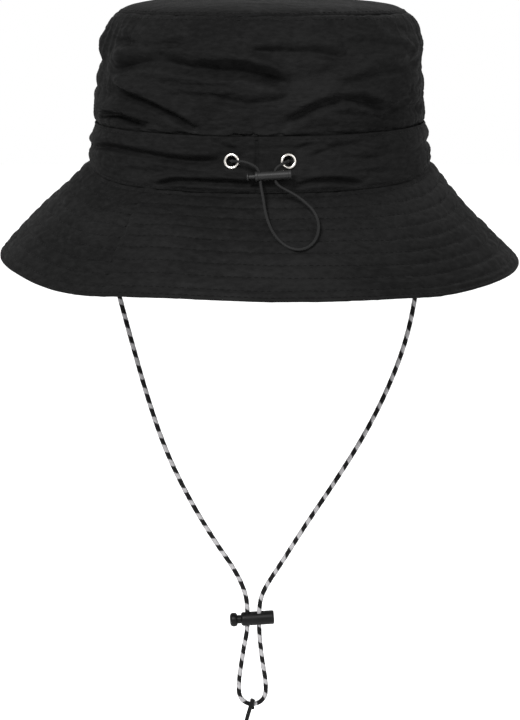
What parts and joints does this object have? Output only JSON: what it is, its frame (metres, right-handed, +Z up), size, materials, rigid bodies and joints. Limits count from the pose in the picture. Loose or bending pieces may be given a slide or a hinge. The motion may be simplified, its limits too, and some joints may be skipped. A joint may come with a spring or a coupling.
{
  "type": "bucket hat",
  "caption": "Soft bucket hat with a stitched brim, an elastic toggle drawcord at the back and a braided chin cord with its own toggle.",
  "frame": {"origin": "centre of the head opening, at the level of the seam between band and brim", "axes": "+Z up through the crown, +Y to the wearer's front, +X to the wearer's right; the drawcord is at the back, on -Y"},
  "size_m": [0.2586, 0.297, 0.3843],
  "materials": {
    "shell_cloth": "matt nylon, fine crinkle",
    "lining_cloth": "smooth taffeta",
    "sweatband_tape": "soft brushed twill",
    "interlining": "stiff non-woven",
    "eyelet_metal": "nickel plated",
    "drawcord_elastic": "braided elastic",
    "toggle_plastic": "moulded acetal, soft gloss",
    "spring_steel": "bright wire",
    "chin_cord_braid": "braid of black and white blocks",
    "tab_tape": "woven tape",
    "label_satin": "satin ribbon, blank",
    "pull_cord": "bonded cord"
  },
  "bodies": {
    "hat": {"crown_top_panel": "shell_cloth", "crown_wall_rear": "shell_cloth", "crown_wall_front": "shell_cloth", "crown_lining_top": "lining_cloth", "crown_lining_wall": "lining_cloth", "band_shell": "shell_cloth", "band_channel_backing": "lining_cloth", "sweatband": "sweatband_tape", "care_label": "label_satin", "eyelet_left": "eyelet_metal", "eyelet_right": "eyelet_metal", "eyelet_washer_left": "eyelet_metal", "eyelet_washer_right": "eyelet_metal", "eyelet_patch": "interlining", "brim_upper_cloth": "shell_cloth", "brim_interlining": "interlining", "brim_under_cloth": "shell_cloth", "chin_tab_left": "tab_tape", "chin_tab_right": "tab_tape", "rear_drawcord_channel_run": "drawcord_elastic"},
    "rear_drawcord": {"rear_drawcord_left_strand": "drawcord_elastic", "rear_drawcord_right_strand": "drawcord_elastic", "rear_drawcord_loop": "drawcord_elastic"},
    "rear_toggle": {"rear_toggle_barrel": "toggle_plastic", "rear_toggle_spring": "spring_steel"},
    "rear_toggle_button": {"rear_toggle_plunger": "toggle_plastic"},
    "chin_strap": {"chin_cord_left_strand": "chin_cord_braid", "chin_cord_right_strand": "chin_cord_braid", "chin_cord_loop": "chin_cord_braid"},
    "chin_toggle": {"chin_toggle_barrel": "toggle_plastic", "chin_toggle_spring": "spring_steel"},
    "chin_toggle_button": {"chin_toggle_plunger": "toggle_plastic"},
    "chin_pull": {"chin_cord_pull": "pull_cord"}
  },
  "joints": [
    {"name": "chin_strap_swing", "type": "hinge", "parent": "hat", "child": "chin_strap", "pos_m": [0, 0, -0.009], "axis": [1, 0, 0], "range_deg": [-50, 50]},
    {"name": "chin_toggle_slide", "type": "slide", "parent": "chin_strap", "child": "chin_toggle", "axis": [0, 0, 1], "range_m": [-0.018, 0.045], "deforming": ["chin_cord_left_strand", "chin_cord_right_strand", "chin_cord_loop"]},
    {"name": "chin_toggle_press", "type": "slide", "parent": "chin_toggle", "child": "chin_toggle_button", "axis": [0.9976, 0, 0.0698], "range_m": [0, 0.0016], "stiffness_N_per_m": 900, "springref_m": -0.001, "deforming": ["chin_toggle_spring"]},
    {"name": "chin_pull_swing", "type": "hinge", "parent": "chin_strap", "child": "chin_pull", "pos_m": [-0.0046, 0, -0.2866], "axis": [1, 0, 0], "range_deg": [-60, 60]},
    {"name": "rear_drawcord_lift", "type": "hinge", "parent": "hat", "child": "rear_drawcord", "pos_m": [0, -0.0974, 0.011], "axis": [-1, 0, 0], "range_deg": [0, 90]},
    {"name": "rear_toggle_slide", "type": "slide", "parent": "rear_drawcord", "child": "rear_toggle", "axis": [0.0611, 0, -0.9981], "range_m": [-0.0015, 0.007], "deforming": ["rear_drawcord_left_strand", "rear_drawcord_right_strand", "rear_drawcord_loop"]},
    {"name": "rear_toggle_press", "type": "slide", "parent": "rear_toggle", "child": "rear_toggle_button", "axis": [0.9981, 0, 0.0611], "range_m": [0, 0.0014], "stiffness_N_per_m": 500, "springref_m": -0.0008, "deforming": ["rear_toggle_spring"]}
  ]
}
